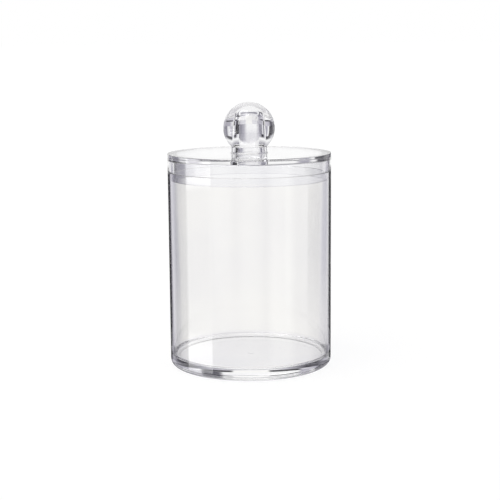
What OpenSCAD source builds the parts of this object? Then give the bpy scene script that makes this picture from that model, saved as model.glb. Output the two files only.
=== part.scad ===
// Clear moulded jar for cotton swabs, with a lift-off lid and a ball knob.
// Both pieces are turned about the Z axis. The jar stands on Z = 0 and sizes are in millimetres.

/* [Jar] */
// Outside diameter, shared by the jar and the lid's band
jar_d = 75; // [60:0.5:110]
// Height from the table to the jar's rim
jar_h = 90.5; // [60:0.5:140]
// Wall thickness at the mouth
mouth_wall = 1.2; // [1.2:0.1:2.5]
// Draft of the inside wall in degrees, which thickens the wall towards the floor
inside_draft = 0.3; // [0.1:0.05:1.25]
// Radius of the edges of the rim
rim_edge_r = 0.2; // [0.1:0.05:0.55]

/* [Base] */
// Thickness of the floor
floor_t = 4.9; // [2:0.1:6]
// Depth of the recess under the floor, inside the foot ring
recess_depth = 0.3; // [0.25:0.05:2]
// Width of the flat on which the foot ring stands
foot_w = 1.1; // [0.8:0.1:5]
// Radius of the outside edge at the foot
base_edge_r = 3; // [1:0.1:4.5]
// Radius between the floor and the inside wall
floor_fillet_r = 1.8; // [0.5:0.1:4]
// Radius between the recess and the foot ring
recess_fillet_r = 0.15; // [0.05:0.05:0.25]
// Diameter of the gate mark under the middle of the floor
gate_d = 2.6; // [1.5:0.1:5]
// Height of the gate mark
gate_h = 0.2; // [0.05:0.05:0.25]

/* [Lid] */
// Height of the band that stands on the rim
band_h = 8; // [5:0.1:14]
// Thickness of the disc across the top
disc_t = 2.4; // [1.6:0.1:3.5]
// Depth of the plug ring below the rim
plug_h = 4; // [2:0.1:10]
// Wall thickness of the plug ring at its lower edge
plug_wall = 1.6; // [1.2:0.1:2.5]
// Clearance all round between the plug ring and the jar
plug_gap = 0.25; // [0.1:0.05:0.5]
// Draft of the inside of the plug ring in degrees
plug_draft = 1.5; // [0.5:0.25:4]
// Radius of the band's outside edges
band_edge_r = 0.2; // [0.1:0.05:0.8]
// Radius of the plug ring's lower edges
plug_edge_r = 0.4; // [0.2:0.05:0.55]
// Radius between the disc and the inside of the plug ring
disc_fillet_r = 0.8; // [0.4:0.1:1.5]

/* [Knob] */
// Diameter of the ball
ball_d = 23.6; // [18:0.2:30]
// Height of the knob above the lid's top face
knob_h = 23.2; // [22.5:0.1:30]
// Diameter of the neck that carries the ball
neck_d = 16.4; // [14:0.2:17]
// Radius between the neck and the lid's top face
neck_foot_r = 0.6; // [0.3:0.1:1]
// Radius between the neck and the ball
neck_top_r = 0.8; // [0.4:0.1:1.2]
// Diameter of the hollow core at its mouth under the lid
core_d = 11; // [10:0.1:12.6]
// Draft of the core in degrees
core_draft = 3; // [1:0.25:7]
// Thickness of the ball's crown above the core
crown_t = 6.1; // [3:0.1:8]
// Radius of the core's upper edge
core_end_r = 2.4; // [1:0.1:3]
// Radius of the core's lower edge
core_mouth_r = 0.5; // [0.2:0.1:1]

/* [Hidden] */
$fn = 128;
clear_plastic = [0.93, 0.93, 0.96, 0.45];

// Worked-out sizes are kept to a thousandth of a millimetre
function micron(x) = round(x * 1000) / 1000;

// Levels, from the table up
floor_z = recess_depth + floor_t;
plug_z = jar_h - plug_h;
lid_z = jar_h + band_h;
disc_z = lid_z - disc_t;
knob_z = lid_z + knob_h;
core_z = knob_z - crown_t;

// Radii of the jar: the inside wall leans from the floor's fillet out to the rim's edge
jar_r = micron(jar_d / 2);
mouth_r = jar_r - mouth_wall;
rim_z = jar_h - rim_edge_r;
fillet_z = floor_z + floor_fillet_r;
floor_r = micron(mouth_r - (rim_z - fillet_z) * tan(inside_draft));
recess_r = jar_r - base_edge_r - foot_w;

// Radii of the lid: the plug ring leans with the jar's wall, a clearance away from it
plug_top_r = mouth_r - plug_gap;
plug_low_r = micron(plug_top_r - plug_h * tan(inside_draft));
hollow_low_r = plug_low_r - plug_wall;
hollow_top_r = micron(hollow_low_r - (disc_z - plug_z) * tan(plug_draft));

// Radii and centres of the knob
ball_r = micron(ball_d / 2);
ball_z = knob_z - ball_r;
neck_r = micron(neck_d / 2);
neck_top_z = micron(ball_z - sqrt(pow(ball_r + neck_top_r, 2) - pow(neck_r + neck_top_r, 2)));
core_low_r = micron(core_d / 2);
core_top_r = micron(core_low_r - (core_z - disc_z) * tan(core_draft));
// Depth that the blend's arc runs into the neck and the ball, so that it ends in a clean edge
blend_bite = 0.02;

// Sliver between a square corner and the arc that rounds it: taken off an outside corner,
// or added in an inside one. The corner's edges run from it along side_x and side_y, each 1 or -1.
module corner(at, side_x, side_y, r) {
  centre = at + r * [side_x, side_y];
  difference() {
    polygon([at, [centre.x, at.y], centre, [at.x, centre.y]]);
    translate(centre) circle(r);
  }
}

// Outside of the jar, with the round edge at the foot and the outer edge of the rim
module jar_outside() {
  difference() {
    square([jar_r, jar_h]);
    corner([jar_r, 0], -1, 1, base_edge_r);
    corner([jar_r, jar_h], -1, -1, rim_edge_r);
  }
}

// Room inside the jar, up through the mouth
module jar_room() {
  wall = [[floor_r, fillet_z], [mouth_r, rim_z]];
  difference() {
    polygon([[0, floor_z], [floor_r, floor_z], each wall, [mouth_r, jar_h], [0, jar_h]]);
    corner([floor_r, floor_z], -1, 1, floor_fillet_r);
  }
  corner([mouth_r, jar_h], 1, -1, rim_edge_r);
}

// Shallow recess under the floor, which keeps the gate mark off the table
module base_recess() {
  difference() {
    square([recess_r, recess_depth]);
    corner([recess_r, recess_depth], -1, -1, recess_fillet_r);
    translate([0, recess_depth - gate_h]) square([micron(gate_d / 2), gate_h]);
  }
}

module jar() {
  color(clear_plastic)
    rotate_extrude()
      difference() {
        jar_outside();
        jar_room();
        base_recess();
      }
}

// Band that stands on the rim, and the plug ring that reaches into the mouth
module lid_outside() {
  difference() {
    translate([0, jar_h]) square([jar_r, band_h]);
    corner([jar_r, lid_z], -1, -1, band_edge_r);
    corner([jar_r, jar_h], -1, 1, band_edge_r);
  }
  plug_side = [[plug_low_r, plug_z + plug_edge_r], [plug_top_r, jar_h]];
  difference() {
    polygon([[0, plug_z], [plug_low_r, plug_z], each plug_side, [0, jar_h]]);
    corner([plug_low_r, plug_z], -1, 1, plug_edge_r);
  }
}

// Hollow under the lid, inside the plug ring
module lid_room() {
  side = [[hollow_low_r, plug_z + plug_edge_r], [hollow_top_r, disc_z - disc_fillet_r]];
  difference() {
    polygon([[0, plug_z], [hollow_low_r, plug_z], each side, [hollow_top_r, disc_z], [0, disc_z]]);
    corner([hollow_top_r, disc_z], -1, -1, disc_fillet_r);
  }
  corner([hollow_low_r, plug_z], 1, 1, plug_edge_r);
}

// Ball on its neck, with a blend above and below the neck
module knob() {
  blend_centre = [neck_r + neck_top_r, neck_top_z];
  intersection() {
    translate([0, ball_z]) circle(ball_r);
    translate([0, ball_z - ball_r]) square([ball_r, ball_d]);
  }
  translate([0, disc_z]) square([neck_r, ball_z - disc_z]);
  corner([neck_r, lid_z], 1, 1, neck_foot_r);
  difference() {
    polygon([[0, neck_top_z], blend_centre, [0, ball_z]]);
    translate(blend_centre) circle(neck_top_r + blend_bite);
  }
}

// Tapered core that hollows the knob from below
module knob_core() {
  side = [[core_low_r, disc_z + core_mouth_r], [core_top_r, core_z - core_end_r]];
  difference() {
    polygon([[0, disc_z], [core_low_r, disc_z], each side, [core_top_r, core_z], [0, core_z]]);
    corner([core_top_r, core_z], -1, -1, core_end_r);
  }
  corner([core_low_r, disc_z], 1, 1, core_mouth_r);
}

module lid() {
  color(clear_plastic)
    rotate_extrude()
      difference() {
        union() {
          lid_outside();
          knob();
        }
        lid_room();
        knob_core();
      }
}

jar();
lid();
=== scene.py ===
import math

import bpy
from mathutils import Euler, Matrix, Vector


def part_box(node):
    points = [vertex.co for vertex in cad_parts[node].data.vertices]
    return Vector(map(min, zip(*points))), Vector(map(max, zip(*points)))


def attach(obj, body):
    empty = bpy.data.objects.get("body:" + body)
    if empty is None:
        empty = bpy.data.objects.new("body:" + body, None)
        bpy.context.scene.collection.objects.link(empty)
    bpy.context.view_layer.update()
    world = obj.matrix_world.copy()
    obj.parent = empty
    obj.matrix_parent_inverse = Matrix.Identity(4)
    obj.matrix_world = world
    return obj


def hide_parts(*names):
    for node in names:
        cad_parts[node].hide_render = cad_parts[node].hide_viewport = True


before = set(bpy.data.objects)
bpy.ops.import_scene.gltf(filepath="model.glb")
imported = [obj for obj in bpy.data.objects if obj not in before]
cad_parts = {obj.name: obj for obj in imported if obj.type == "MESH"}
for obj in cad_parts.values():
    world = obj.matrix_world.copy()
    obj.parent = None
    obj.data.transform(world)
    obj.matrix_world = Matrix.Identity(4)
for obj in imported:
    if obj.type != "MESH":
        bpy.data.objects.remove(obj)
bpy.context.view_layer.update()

MM = 0.001

# The jar: a straight-sided cylinder of clear polystyrene with a thick floor, injection moulded in
# one shot through a gate under the floor. The core leaves a slight draft on the inside wall.
jar_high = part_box("jar")[1]
jar_radius = jar_high.x / MM
rim_height = jar_high.z / MM
mouth_wall = 1.2
inside_draft = 0.3
rim_edge = 0.2
floor_top = 5.2
recess_depth = 0.3
foot_flat = 1.1
foot_edge = 3.0
floor_fillet = 1.8
recess_fillet = 0.15
gate_radius = 1.3
gate_height = 0.2
moulded_edge = 0.06
guard = 0.15
long_stretch = 1.0
steps_round = 256
weld_distance = 1e-7


def arc(centre, radius, start, end, steps=10):
    """Points along an arc in the section, in millimetres, with the angles in degrees."""
    angles = [math.radians(start + (end - start) * i / steps) for i in range(steps + 1)]
    return [(centre[0] + radius * math.cos(a), centre[1] + radius * math.sin(a)) for a in angles]


def guarded(outline):
    """The outline with a point close to each end of its long stretches, so that the shading of
    a flat face doesn't bend round into the edge beside it."""
    points = [outline[0]]
    for here, there in zip(outline, outline[1:]):
        span = math.dist(here, there)
        if span > long_stretch:
            for share in (guard / span, 1 - guard / span):
                points.append(tuple(a + (b - a) * share for a, b in zip(here, there)))
        points.append(there)
    return points


def jar_section():
    """Half section of the jar, from the axis under the floor round to the axis above it."""
    mouth = jar_radius - mouth_wall
    lean = math.tan(math.radians(inside_draft))
    wall_foot = mouth - (rim_height - rim_edge - floor_top - floor_fillet) * lean
    recess = jar_radius - foot_edge - foot_flat
    gate_level = recess_depth - gate_height
    edge = moulded_edge
    return guarded(
        [(0, gate_level)]
        + arc((gate_radius - edge, gate_level + edge), edge, -90, 0, steps=4)
        + arc((gate_radius + edge, recess_depth - edge), edge, 180, 90, steps=4)
        + arc((recess - recess_fillet, recess_depth - recess_fillet), recess_fillet, 90, 0)
        + arc((recess + edge, edge), edge, 180, 270, steps=4)
        + arc((jar_radius - foot_edge, foot_edge), foot_edge, -90, 0, steps=18)
        + arc((jar_radius - rim_edge, rim_height - rim_edge), rim_edge, 0, 90)
        + arc((mouth + rim_edge, rim_height - rim_edge), rim_edge, 90, 180)
        + arc((wall_foot - floor_fillet, floor_top + floor_fillet), floor_fillet, 0, -90, steps=14)
        + [(0, floor_top)]
    )


def add_node(tree, kind, inputs=None, **settings):
    """Adds one node with its settings, and its inputs linked from sockets or set to values."""
    node = tree.nodes.new(kind)
    for name, value in settings.items():
        setattr(node, name, value)
    for key, value in (inputs or {}).items():
        if isinstance(value, bpy.types.NodeSocket):
            tree.links.new(value, node.inputs[key])
        else:
            node.inputs[key].default_value = value
    return node


def turning_tree():
    """Geometry nodes that turn a half section about the Z axis into one closed skin."""
    tree = bpy.data.node_groups.new("turned_piece", "GeometryNodeTree")
    for name, kind in (
        ("Section", "NodeSocketGeometry"),
        ("Steps round", "NodeSocketInt"),
        ("Weld distance", "NodeSocketFloat"),
        ("Finish", "NodeSocketMaterial"),
    ):
        tree.interface.new_socket(name, in_out="INPUT", socket_type=kind)
    tree.interface.new_socket("Piece", in_out="OUTPUT", socket_type="NodeSocketGeometry")
    given = tree.nodes.new("NodeGroupInput").outputs
    size = add_node(tree, "GeometryNodeAttributeDomainSize", {0: given["Section"]})
    columns = add_node(tree, "ShaderNodeMath", {0: given["Steps round"], 1: 1.0}, operation="ADD")
    grid = add_node(
        tree,
        "GeometryNodeMeshGrid",
        {"Vertices X": size.outputs["Point Count"], "Vertices Y": columns.outputs[0]},
    )
    index = add_node(tree, "GeometryNodeInputIndex").outputs[0]
    share = add_node(tree, "ShaderNodeMath", {0: index, 1: columns.outputs[0]}, operation="DIVIDE")
    row = add_node(tree, "ShaderNodeMath", {0: share.outputs[0]}, operation="FLOOR")
    step = add_node(tree, "ShaderNodeMath", {0: index, 1: columns.outputs[0]}, operation="MODULO")
    turn = add_node(
        tree, "ShaderNodeMath", {0: step.outputs[0], 1: given["Steps round"]}, operation="DIVIDE"
    )
    angle = add_node(tree, "ShaderNodeMath", {0: turn.outputs[0], 1: -math.tau}, operation="MULTIPLY")
    point = add_node(
        tree,
        "GeometryNodeSampleIndex",
        {
            "Geometry": given["Section"],
            "Value": add_node(tree, "GeometryNodeInputPosition").outputs[0],
            "Index": row.outputs[0],
        },
        data_type="FLOAT_VECTOR",
    )
    turned = add_node(
        tree,
        "ShaderNodeVectorRotate",
        {"Vector": point.outputs[0], "Angle": angle.outputs[0]},
        rotation_type="Z_AXIS",
    )
    placed = add_node(
        tree,
        "GeometryNodeSetPosition",
        {"Geometry": grid.outputs["Mesh"], "Position": turned.outputs[0]},
    )
    welded = add_node(
        tree,
        "GeometryNodeMergeByDistance",
        {"Geometry": placed.outputs[0], "Distance": given["Weld distance"]},
    )
    smooth = add_node(tree, "GeometryNodeSetShadeSmooth", {"Geometry": welded.outputs[0]})
    whole = add_node(tree, "GeometryNodeRealizeInstances", {"Geometry": smooth.outputs[0]})
    finished = add_node(
        tree,
        "GeometryNodeSetMaterial",
        {"Geometry": whole.outputs[0], "Material": given["Finish"]},
    )
    add_node(tree, "NodeGroupOutput", {0: finished.outputs[0]})
    return tree


turning = turning_tree()


def turned_piece(name, section, finish):
    """A plain mesh object turned from a half section given in millimetres."""
    outline = bpy.data.meshes.new(name + "_section")
    edges = [(i, i + 1) for i in range(len(section) - 1)]
    outline.from_pydata([(r * MM, 0, z * MM) for r, z in section], edges, [])
    piece = bpy.data.objects.new(name, outline)
    bpy.context.scene.collection.objects.link(piece)
    modifier = piece.modifiers.new("turning", "NODES")
    modifier.node_group = turning
    values = {"Steps round": steps_round, "Weld distance": weld_distance, "Finish": finish}
    for socket in turning.interface.items_tree:
        if socket.name in values:
            modifier[socket.identifier] = values[socket.name]
    graph = bpy.context.evaluated_depsgraph_get()
    mesh = bpy.data.meshes.new_from_object(piece.evaluated_get(graph), depsgraph=graph)
    piece.modifiers.remove(modifier)
    piece.data = mesh
    mesh.name = name
    return piece


def linear(colour):
    """An sRGB hex colour as linear red, green, blue and alpha."""
    parts = [int(colour[i : i + 2], 16) / 255 for i in (1, 3, 5)]
    return [c / 12.92 if c <= 0.04045 else ((c + 0.055) / 1.055) ** 2.4 for c in parts] + [1]


def clear_polystyrene():
    """Crystal polystyrene from a polished mould: clear, hard and glossy, with a faint cool cast,
    slight flow waves in the walls and a thin bloom of handling haze."""
    material = bpy.data.materials.new("clear_polystyrene_polished")
    material.use_nodes = True
    tree = material.node_tree
    tree.nodes.clear()
    place = add_node(tree, "ShaderNodeTexCoord").outputs["Object"]
    flow_mm = 40
    haze_mm = 9
    haze_roughness = 0.03
    wave_mm = 18
    wave_depth_mm = 0.02
    flow = add_node(
        tree, "ShaderNodeTexNoise", {"Vector": place, "Scale": 1 / (flow_mm * MM), "Detail": 2.0}
    )
    cast = add_node(tree, "ShaderNodeValToRGB", {"Fac": flow.outputs["Fac"]})
    cast.color_ramp.elements[0].position = 0.35
    cast.color_ramp.elements[0].color = linear("#FAFAFB")
    cast.color_ramp.elements[1].position = 0.65
    cast.color_ramp.elements[1].color = linear("#FDFDFD")
    haze = add_node(
        tree, "ShaderNodeTexNoise", {"Vector": place, "Scale": 1 / (haze_mm * MM), "Detail": 4.0}
    )
    gloss = add_node(
        tree,
        "ShaderNodeMapRange",
        {
            "Value": haze.outputs["Fac"],
            "From Min": 0.4,
            "From Max": 0.8,
            "To Min": 0.0,
            "To Max": haze_roughness,
        },
    )
    wave = add_node(
        tree, "ShaderNodeTexNoise", {"Vector": place, "Scale": 1 / (wave_mm * MM), "Detail": 1.0}
    )
    ripple = add_node(
        tree,
        "ShaderNodeBump",
        {"Height": wave.outputs["Fac"], "Strength": 0.3, "Distance": wave_depth_mm * MM},
    )
    body = add_node(
        tree,
        "ShaderNodeBsdfPrincipled",
        {
            "Base Color": cast.outputs["Color"],
            "Roughness": gloss.outputs["Result"],
            "IOR": 1.59,
            "Transmission Weight": 1.0,
            "Normal": ripple.outputs["Normal"],
        },
    )
    lamp_light = add_node(tree, "ShaderNodeBsdfTransparent", {"Color": linear("#EDEDF0")})
    ray = add_node(tree, "ShaderNodeLightPath")
    surface = add_node(
        tree,
        "ShaderNodeMixShader",
        {0: ray.outputs["Is Shadow Ray"], 1: body.outputs[0], 2: lamp_light.outputs[0]},
    )
    add_node(tree, "ShaderNodeOutputMaterial", {"Surface": surface.outputs[0]})
    return material


polystyrene = clear_polystyrene()
jar = turned_piece("clear_jar", jar_section(), polystyrene)
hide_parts("jar")
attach(jar, "root")

# The lid: a disc with a band that stands on the rim, a plug ring that drops into the mouth, and a
# ball knob on a short neck. All one moulding of the same clear polystyrene; a tapered core pin
# hollows the knob from below.
lid_low, lid_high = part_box("lid")
plug_bottom = lid_low.z / MM
knob_top = lid_high.z / MM
band_height = 8.0
disc_thickness = 2.4
plug_wall = 1.6
plug_gap = 0.25
plug_draft = 1.5
band_edge = 0.2
plug_edge = 0.4
disc_fillet = 0.8
ball_radius = 11.8
neck_radius = 8.2
neck_foot = 0.6
neck_blend = 0.8
core_radius = 5.5
core_draft = 3.0
crown = 6.1
core_end = 2.4
core_mouth = 0.5


def lid_section():
    """Half section of the lid, from the axis in the knob's core round to the top of the ball."""
    lid_top = rim_height + band_height
    disc_under = lid_top - disc_thickness
    ball_level = knob_top - ball_radius
    core_top = knob_top - crown
    core_top_radius = core_radius - (core_top - disc_under) * math.tan(math.radians(core_draft))
    plug_top = jar_radius - mouth_wall - plug_gap
    plug_low = plug_top - (rim_height - plug_bottom) * math.tan(math.radians(inside_draft))
    hollow_low = plug_low - plug_wall
    hollow_top = hollow_low - (disc_under - plug_bottom) * math.tan(math.radians(plug_draft))
    blend_radius = neck_radius + neck_blend
    blend_reach = ball_radius + neck_blend
    blend_level = ball_level - math.sqrt(blend_reach**2 - blend_radius**2)
    blend_angle = math.degrees(math.atan2(ball_level - blend_level, blend_radius))
    edge = moulded_edge
    return guarded(
        [(0, core_top)]
        + arc((core_top_radius - core_end, core_top - core_end), core_end, 90, 0, steps=14)
        + arc((core_radius + core_mouth, disc_under + core_mouth), core_mouth, 180, 270)
        + arc((hollow_top - disc_fillet, disc_under - disc_fillet), disc_fillet, 90, 0)
        + arc((hollow_low + plug_edge, plug_bottom + plug_edge), plug_edge, 180, 270)
        + arc((plug_low - plug_edge, plug_bottom + plug_edge), plug_edge, -90, 0)
        + arc((plug_top + edge, rim_height - edge), edge, 180, 90, steps=4)
        + arc((jar_radius - band_edge, rim_height + band_edge), band_edge, -90, 0)
        + arc((jar_radius - band_edge, lid_top - band_edge), band_edge, 0, 90)
        + arc((neck_radius + neck_foot, lid_top + neck_foot), neck_foot, 270, 180)
        + arc((blend_radius, blend_level), neck_blend, 180, 180 - blend_angle, steps=6)
        + arc((0, ball_level), ball_radius, -blend_angle, 90, steps=80)
    )


lid = turned_piece("clear_lid", lid_section(), polystyrene)
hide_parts("lid")
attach(lid, "root")

# The table: a matt white sheet that reaches to the horizon, seen as plain white with the jar's soft
# shadow on it. Rays through the plastic and mirrored rays pass it by and see the tent below.
table_half = 80.0
white = linear("#FFFFFF")
table_mesh = bpy.data.meshes.new("table")
table_mesh.from_pydata(
    [(x * table_half, y * table_half, 0) for x, y in ((-1, -1), (1, -1), (1, 1), (-1, 1))],
    [],
    [(0, 1, 2, 3)],
)
table = bpy.data.objects.new("table", table_mesh)
bpy.context.scene.collection.objects.link(table)
matt_white = bpy.data.materials.new("matt_white_sheet")
matt_white.use_nodes = True
matt_white.node_tree.nodes.clear()
glow_share = 0.77
lit = add_node(matt_white.node_tree, "ShaderNodeBsdfDiffuse", {"Color": linear("#8F8F8F")})
glow = add_node(
    matt_white.node_tree, "ShaderNodeEmission", {"Color": white, "Strength": glow_share}
)
both = add_node(matt_white.node_tree, "ShaderNodeAddShader", {0: lit.outputs[0], 1: glow.outputs[0]})
add_node(matt_white.node_tree, "ShaderNodeOutputMaterial", {"Surface": both.outputs[0]})
table_mesh.materials.append(matt_white)
table.visible_transmission = False
table.visible_glossy = False

# The studio: a white cloth tent. Clear plastic only shows by what it bends and mirrors, so rings of
# lights and dark flags stand round the jar, one ring at the height that each part of it shows.
world = bpy.data.worlds.new("white_tent")
bpy.context.scene.world = world
world.use_nodes = True
tent = world.node_tree
tent.nodes.clear()

# A light is a bearing in degrees and a colour. Bearing 0 is straight behind the jar and negative
# ones are on its left. A light without a colour is a flag.
dark_flag = "#201E28"
pale_flag = "#DEDDE3"
pale_core_flag = "#E6E5E9"

# Seen in the jar's walls, where the flags beside bearing 0 draw the dark edges.
wall_lights = (
    (-180, "#F0F0F2"),
    (-125, "#E2E1E6"),
    (-124, "#FFFFFF"),
    (-81, "#FFFFFF"),
    (-79, "#3C3A46"),
    (-50, "#3C3A46"),
    (-44, "#B8B6C0"),
    (-31, "#D4D2DA"),
    (-27, None),
    (-10, None),
    (-9, "#FFFEFB"),
    (9, "#FFFEFB"),
    (10, None),
    (27, None),
    (31, "#F0F0F2"),
    (40, "#B8B6C0"),
    (112, "#A8A6B2"),
    (124, "#FFFFFF"),
    (146, "#FFFFFF"),
    (158, "#B8B6C0"),
    (172, "#E8E8EA"),
)
# Seen steeply down through the jar and the floor.
floor_lights = (
    (-180, "#F0F0F2"),
    (-125, "#E2E1E6"),
    (-124, "#FFFFFF"),
    (-81, "#FFFFFF"),
    (-79, "#6E6C7A"),
    (-60, "#6E6C7A"),
    (-55, "#FFFFFF"),
    (-32, "#FFFFFF"),
    (-26, None),
    (-17, None),
    (-12, "#F2F1F3"),
    (10, "#F2F1F3"),
    (16, "#C8C6CE"),
    (48, "#C8C6CE"),
    (70, "#B8B6C0"),
    (105, "#B8B6C0"),
    (112, "#6E6C7A"),
    (119, "#6E6C7A"),
    (124, "#FFFFFF"),
    (146, "#FFFFFF"),
    (151, "#6E6C7A"),
    (158, "#6E6C7A"),
    (165, "#E8E8EA"),
)
# Seen in the round edge of the base, and mirrored in it.
base_lights = (
    (-180, "#F0F0F2"),
    (-125, "#E2E1E6"),
    (-124, "#FFFFFF"),
    (-81, "#FFFFFF"),
    (-76, "#F0F0F2"),
    (-62, "#B8B6C0"),
    (-48, None),
    (-34, None),
    (-20, "#B8B6C0"),
    (-12, "#F4F4F6"),
    (2, "#F4F4F6"),
    (14, "#C8C6CE"),
    (30, "#6E6C7A"),
    (40, None),
    (54, None),
    (68, "#8A8894"),
    (90, "#B8B6C0"),
    (105, "#B8B6C0"),
    (124, "#FFFFFF"),
    (146, "#FFFFFF"),
    (165, "#E8E8EA"),
)
# Seen in the edge of the lid's disc.
disc_lights = (
    (-180, "#F0F0F2"),
    (-125, "#E2E1E6"),
    (-124, "#FFFFFF"),
    (-81, "#FFFFFF"),
    (-78, "#282630"),
    (-48, "#282630"),
    (-44, "#FFFFFF"),
    (-40, "#FFFFFF"),
    (-36, "#A8A6B2"),
    (-29, "#A8A6B2"),
    (-25, "#FFFFFF"),
    (25, "#FFFFFF"),
    (29, "#C8C6CE"),
    (37, "#C8C6CE"),
    (40, "#F0F0F2"),
    (47, "#F0F0F2"),
    (52, "#8A8894"),
    (90, "#8A8894"),
    (124, "#FFFFFF"),
)
# Seen in the knob and the upper part of the lid.
knob_lights = (
    (-180, "#F0F0F2"),
    (-125, "#E2E1E6"),
    (-118, "#4A4854"),
    (-104, "#4A4854"),
    (-100, "#FFFFFF"),
    (-96, "#FFFFFF"),
    (-92, "#1A1820"),
    (-44, "#1A1820"),
    (-42, "#FFFFFF"),
    (-40, "#FFFFFF"),
    (-36, "#A8A6B2"),
    (-29, "#A8A6B2"),
    (-27, "#FFFFFF"),
    (14, "#FFFFFF"),
    (16, "#4A4854"),
    (27, "#4A4854"),
    (29, "#C8C6CE"),
    (37, "#C8C6CE"),
    (40, "#F0F0F2"),
    (47, "#F0F0F2"),
    (52, "#8A8894"),
    (90, "#8A8894"),
    (112, "#A8A6B2"),
    (124, "#FFFFFF"),
    (146, "#FFFFFF"),
    (158, "#B8B6C0"),
    (172, "#E8E8EA"),
)
# Seen through the hollow core of the knob.
core_lights = (
    (-180, "#F0F0F2"),
    (-110, "#FFFFFF"),
    (-80, "#FFFFFF"),
    (-62, "#6E6C7A"),
    (-40, "#6E6C7A"),
    (-14, "#A8A6B2"),
    (-5, None),
    (28, None),
    (45, "#C8C6CE"),
    (80, "#D4D2DA"),
    (124, "#FFFFFF"),
    (146, "#FFFFFF"),
    (172, "#E8E8EA"),
)
direction = add_node(tent, "ShaderNodeTexCoord").outputs["Generated"]
axes = add_node(tent, "ShaderNodeSeparateXYZ", {0: direction}).outputs
bearing = add_node(tent, "ShaderNodeMath", {0: axes["X"], 1: axes["Y"]}, operation="ARCTAN2")
turn_share = add_node(
    tent,
    "ShaderNodeMapRange",
    {"Value": bearing.outputs[0], "From Min": -math.pi, "From Max": math.pi},
)

# A ray is counted at each face that it passes: none for one mirrored by an outer face, two for one
# bent in one wall, and four or more for one through two walls or the core of the knob.
ray = add_node(tent, "ShaderNodeLightPath").outputs
outer_face_limit = 0.5
one_wall_limit = 3.5
outer_face = add_node(
    tent,
    "ShaderNodeMath",
    {0: ray["Transmission Depth"], 1: outer_face_limit},
    operation="LESS_THAN",
).outputs[0]
two_walls = add_node(
    tent,
    "ShaderNodeMath",
    {0: ray["Transmission Depth"], 1: one_wall_limit},
    operation="GREATER_THAN",
).outputs[0]


def ramp_of_lights(lights, flag):
    """Lights all round the jar, with a given colour for the flags."""
    ring = add_node(tent, "ShaderNodeValToRGB", {"Fac": turn_share.outputs[0]})
    stops = ring.color_ramp.elements
    stops.remove(stops[1])
    for i, (angle, colour) in enumerate(lights):
        place = (angle + 180) / 360
        stop = stops.new(place) if i else stops[0]
        stop.position = place
        stop.color = linear(colour or flag)
    return ring.outputs["Color"]


def by_depth(shallow, deep):
    """One light for rays bent in one wall, and another for rays through two or the core."""
    light = add_node(tent, "ShaderNodeMix", {0: two_walls, 6: shallow, 7: deep}, data_type="RGBA")
    return light.outputs[2]


def ring_of_lights(lights, deep_ring=None):
    """A ring with dark flags for rays bent in one wall, and pale ones for rays through two."""
    shallow_ring = ramp_of_lights(lights, dark_flag)
    return by_depth(shallow_ring, deep_ring or ramp_of_lights(lights, pale_flag))


def blend(low, high, lower, upper):
    """Changes from the lower light to the upper one between two heights of the direction, where
    -1 is straight down and 1 is straight up."""
    share = add_node(
        tent, "ShaderNodeMapRange", {"Value": axes["Z"], "From Min": low, "From Max": high}
    )
    light = add_node(
        tent, "ShaderNodeMix", {0: share.outputs[0], 6: lower, 7: upper}, data_type="RGBA"
    )
    return light.outputs[2]


# The rings, from the bottom of the tent to its top. Rays through two walls see the lower rings
# through a pale haze.
below = blend(-0.8, -0.7, white, linear("#A8A6B2"))
floor_ring = blend(-0.6, -0.55, below, ring_of_lights(floor_lights))
base_ring = blend(-0.31, -0.285, floor_ring, ring_of_lights(base_lights))
wall_ring = blend(-0.249, -0.247, base_ring, ring_of_lights(wall_lights))
haze_share = 0.6
haze_depth = add_node(tent, "ShaderNodeMath", {0: two_walls, 1: haze_share}, operation="MULTIPLY")
hazy_wall = add_node(
    tent,
    "ShaderNodeMix",
    {0: haze_depth.outputs[0], 6: wall_ring, 7: linear("#FCFBF8")},
    data_type="RGBA",
)
walls = blend(-0.22, -0.18, hazy_wall.outputs[2], wall_ring)
core_ring = ramp_of_lights(core_lights, "#FFFFFF")
disc_ring = blend(-0.098, -0.095, walls, ring_of_lights(disc_lights, core_ring))
knob_ring = blend(-0.0905, -0.0895, disc_ring, ring_of_lights(knob_lights, core_ring))
core_mirror = ramp_of_lights(core_lights, pale_core_flag)
knob_mirror = by_depth(ramp_of_lights(knob_lights, "#FFFFFF"), core_mirror)
above_knob = blend(0.0, 0.16, knob_ring, knob_mirror)
base_mirror = by_depth(ramp_of_lights(base_lights, dark_flag), core_mirror)
above_base = blend(0.243, 0.246, above_knob, base_mirror)
backdrop = blend(0.34, 0.42, above_base, white)
overhead = by_depth(linear("#8E8C98"), linear("#F0F0F2"))
around = blend(0.45, 0.7, backdrop, overhead)

# The strip softbox on the left, which only shows in the outer faces: across the lid's band and in
# front of the floor.
black = linear("#000000")
softbox_lights = (
    (-180, "#000000"),
    (-125, "#000000"),
    (-124, "#FFFFFF"),
    (-81, "#FFFFFF"),
    (-80, "#000000"),
)
softbox_strength = 3.6
softbox_side = ramp_of_lights(softbox_lights, "#000000")
softbox_end = blend(-0.34, -0.28, black, white)
floor_part = blend(-0.236, -0.224, softbox_end, black)
band_part = blend(-0.116, -0.107, floor_part, white)
softbox_height = blend(-0.0905, -0.076, band_part, black)
softbox_part = add_node(
    tent, "ShaderNodeMath", {0: softbox_side, 1: softbox_height}, operation="MULTIPLY"
)
softbox_share = add_node(
    tent, "ShaderNodeMath", {0: softbox_part.outputs[0], 1: outer_face}, operation="MULTIPLY"
)
tent_light = add_node(
    tent,
    "ShaderNodeMix",
    {0: softbox_share.outputs[0], 6: around, 7: [softbox_strength * part for part in white]},
    data_type="RGBA",
)

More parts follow.
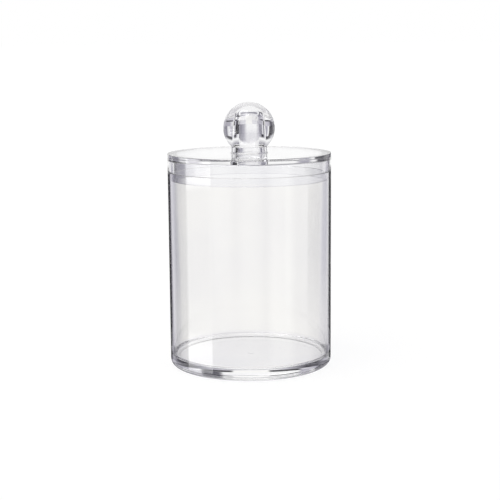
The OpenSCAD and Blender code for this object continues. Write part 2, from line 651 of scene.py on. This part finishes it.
# The rings show only in the plastic. The camera sees plain white past the jar, and the table gets
# a dimmer light, so that the lamp's shadow shows on it.
in_plastic = add_node(
    tent,
    "ShaderNodeMath",
    {0: ray["Is Glossy Ray"], 1: ray["Is Transmission Ray"]},
    operation="MAXIMUM",
)
seen = add_node(
    tent,
    "ShaderNodeMix",
    {0: in_plastic.outputs[0], 6: white, 7: tent_light.outputs[2]},
    data_type="RGBA",
)
diffuse_light = 0.55
strength = add_node(
    tent,
    "ShaderNodeMix",
    {0: ray["Is Diffuse Ray"], 2: 1.0, 3: diffuse_light},
    data_type="FLOAT",
)
sky = add_node(
    tent, "ShaderNodeBackground", {"Color": seen.outputs[2], "Strength": strength.outputs[0]}
)
add_node(tent, "ShaderNodeOutputWorld", {"Surface": sky.outputs[0]})

# One broad lamp above the jar, to the left and a little in front, lays its soft shadow.
lamp_to_front = 20
lamp_to_left = 25
lamp = bpy.data.lights.new("overhead_softbox", "SUN")
lamp.energy = 1.2
lamp.angle = math.radians(50)
lamp_object = bpy.data.objects.new("overhead_softbox", lamp)
lamp_object.rotation_euler = Euler((math.radians(lamp_to_front), math.radians(-lamp_to_left), 0))
bpy.context.scene.collection.objects.link(lamp_object)

# The camera: a long lens a little above the lid, turned down to the middle of the picture and
# rolled a touch, as the picture shows the jar.
camera_data = bpy.data.cameras.new("camera")
camera_data.sensor_width = 36
camera_data.lens = 91.15
camera = bpy.data.objects.new("camera", camera_data)
camera_distance = 580 * MM
camera_height = 148.5 * MM
camera_tilt = 9.33
camera_roll = 0.47
camera.location = Vector((0, -camera_distance, camera_height))
camera.rotation_mode = "XYZ"
turn = Euler((math.radians(90 - camera_tilt), 0, 0)).to_matrix()
roll = Euler((0, 0, math.radians(-camera_roll))).to_matrix()
camera.rotation_euler = (turn @ roll).to_euler()
bpy.context.scene.collection.objects.link(camera)
bpy.context.scene.camera = camera

# Light crosses many faces in the jar, the lid and the knob, so it may turn more often than usual.
scene = bpy.context.scene
scene.view_settings.view_transform = "Standard"
scene.cycles.max_bounces = 24
scene.cycles.transmission_bounces = 24
scene.cycles.glossy_bounces = 12
